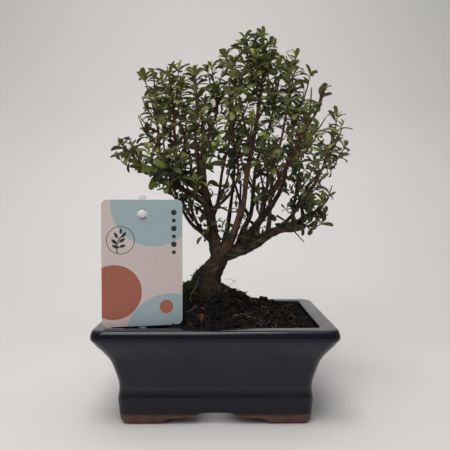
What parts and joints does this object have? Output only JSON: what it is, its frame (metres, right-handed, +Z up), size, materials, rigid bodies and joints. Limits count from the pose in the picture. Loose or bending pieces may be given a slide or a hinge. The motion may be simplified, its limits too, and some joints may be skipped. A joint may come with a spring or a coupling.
{
  "type": "bonsai tree",
  "caption": "Small cotoneaster bonsai: a short flared trunk that forks into upright leafy limbs, in a glazed rectangular pot with cut-out feet, with a plain plant label on a stake.",
  "frame": {"origin": "on the surface it stands on, below the middle of the outline of pot and crown", "axes": "+Z up, the front with the plant label faces -Y, +X to the viewer's right"},
  "size_m": [0.1852, 0.123, 0.2844],
  "materials": {
    "glaze": "gloss",
    "soil": "matte",
    "bark": "matte",
    "leaf": "satin",
    "label": "satin",
    "stake": "gloss",
    "screen": "matte"
  },
  "bodies": {
    "root": {"drain_screen_1": "screen", "drain_screen_2": "screen", "label_card": "label", "label_stake": "stake", "pot": "glaze", "shoot_01": "leaf", "shoot_02": "leaf", "shoot_03": "leaf", "shoot_04": "leaf", "shoot_05": "leaf", "shoot_06": "leaf", "shoot_07": "leaf", "shoot_08": "leaf", "shoot_09": "leaf", "shoot_10": "leaf", "shoot_11": "leaf", "shoot_12": "leaf", "shoot_13": "leaf", "shoot_14": "leaf", "shoot_15": "leaf", "shoot_16": "leaf", "shoot_17": "leaf", "shoot_18": "leaf", "shoot_19": "leaf", "shoot_20": "leaf", "shoot_21": "leaf", "shoot_22": "leaf", "shoot_23": "leaf", "shoot_24": "leaf", "shoot_25": "leaf", "shoot_26": "leaf", "shoot_27": "leaf", "shoot_28": "leaf", "shoot_29": "leaf", "shoot_30": "leaf", "shoot_31": "leaf", "shoot_32": "leaf", "shoot_33": "leaf", "shoot_34": "leaf", "shoot_35": "leaf", "shoot_36": "leaf", "shoot_37": "leaf", "shoot_38": "leaf", "shoot_39": "leaf", "shoot_40": "leaf", "shoot_41": "leaf", "shoot_42": "leaf", "shoot_43": "leaf", "shoot_44": "leaf", "shoot_45": "leaf", "shoot_46": "leaf", "shoot_47": "leaf", "shoot_48": "leaf", "shoot_49": "leaf", "shoot_50": "leaf", "soil": "soil", "trunk_and_limbs": "bark"}
  },
  "joints": []
}
